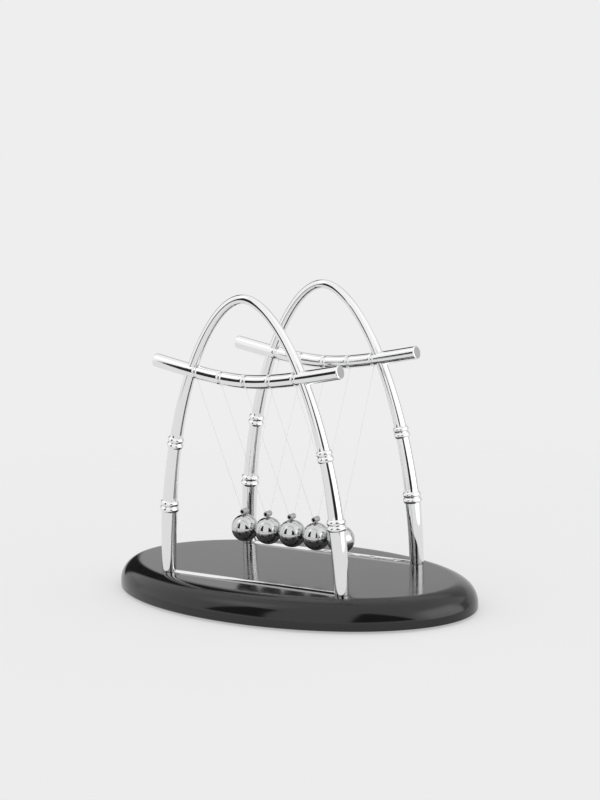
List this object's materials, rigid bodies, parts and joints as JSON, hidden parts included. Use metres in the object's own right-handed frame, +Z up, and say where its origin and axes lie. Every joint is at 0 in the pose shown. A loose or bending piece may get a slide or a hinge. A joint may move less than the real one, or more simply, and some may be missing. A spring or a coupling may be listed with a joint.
{
  "type": "newtons cradle",
  "caption": "Desk newtons cradle: polished balls hang in a row on V cords between two arched chrome side frames on an oval gloss-black plinth, and the end balls swing.",
  "frame": {"origin": "on the surface the object stands on, under the middle of the plinth", "axes": "+X along the row of balls, from ball_1 to ball_5; -Y towards the front frame; +Z up"},
  "size_m": [0.2292, 0.1386, 0.1786],
  "materials": {
    "plinth_lacquer": "gloss-black lacquer on fibreboard",
    "felt": "black felt",
    "frame_chrome": "mirror chrome plate on a die-casting",
    "ball_steel": "mirror-polished steel, a little darker than the frames",
    "hanger_metal": "dull grey metal",
    "cord_nylon": "clear nylon line",
    "zinc_plate": "zinc-plated steel"
  },
  "bodies": {
    "stand": {"plinth": "plinth_lacquer", "base_felt": "felt", "front_frame": "frame_chrome", "back_frame": "frame_chrome", "frame_screw_1": "zinc_plate", "frame_screw_2": "zinc_plate", "frame_screw_3": "zinc_plate", "frame_screw_4": "zinc_plate", "screw_washer_1": "zinc_plate", "screw_washer_2": "zinc_plate", "screw_washer_3": "zinc_plate", "screw_washer_4": "zinc_plate", "cord_end_front_1": "cord_nylon", "cord_end_front_2": "cord_nylon", "cord_end_front_3": "cord_nylon", "cord_end_front_4": "cord_nylon", "cord_end_front_5": "cord_nylon", "cord_end_back_1": "cord_nylon", "cord_end_back_2": "cord_nylon", "cord_end_back_3": "cord_nylon", "cord_end_back_4": "cord_nylon", "cord_end_back_5": "cord_nylon"},
    "pendulum_1": {"ball_1": "ball_steel", "ball_hanger_1": "hanger_metal", "cord_1": "cord_nylon"},
    "pendulum_2": {"ball_2": "ball_steel", "ball_hanger_2": "hanger_metal", "cord_2": "cord_nylon"},
    "pendulum_3": {"ball_3": "ball_steel", "ball_hanger_3": "hanger_metal", "cord_3": "cord_nylon"},
    "pendulum_4": {"ball_4": "ball_steel", "ball_hanger_4": "hanger_metal", "cord_4": "cord_nylon"},
    "pendulum_5": {"ball_5": "ball_steel", "ball_hanger_5": "hanger_metal", "cord_5": "cord_nylon"}
  },
  "joints": [
    {"name": "ball_1_swing", "type": "hinge", "parent": "stand", "child": "pendulum_1", "pos_m": [-0.0331, 0, 0.12868], "axis": [0, 1, 0], "range_deg": [-0.15, 45]},
    {"name": "ball_2_swing", "type": "hinge", "parent": "stand", "child": "pendulum_2", "pos_m": [-0.01655, 0, 0.12633], "axis": [0, 1, 0], "range_deg": [-0.15, 0.15]},
    {"name": "ball_3_swing", "type": "hinge", "parent": "stand", "child": "pendulum_3", "pos_m": [0, 0, 0.12535], "axis": [0, 1, 0], "range_deg": [-0.15, 0.15]},
    {"name": "ball_4_swing", "type": "hinge", "parent": "stand", "child": "pendulum_4", "pos_m": [0.01655, 0, 0.12633], "axis": [0, -1, 0], "range_deg": [-0.15, 0.15]},
    {"name": "ball_5_swing", "type": "hinge", "parent": "stand", "child": "pendulum_5", "pos_m": [0.0331, 0, 0.12868], "axis": [0, -1, 0], "range_deg": [-0.15, 45]}
  ]
}
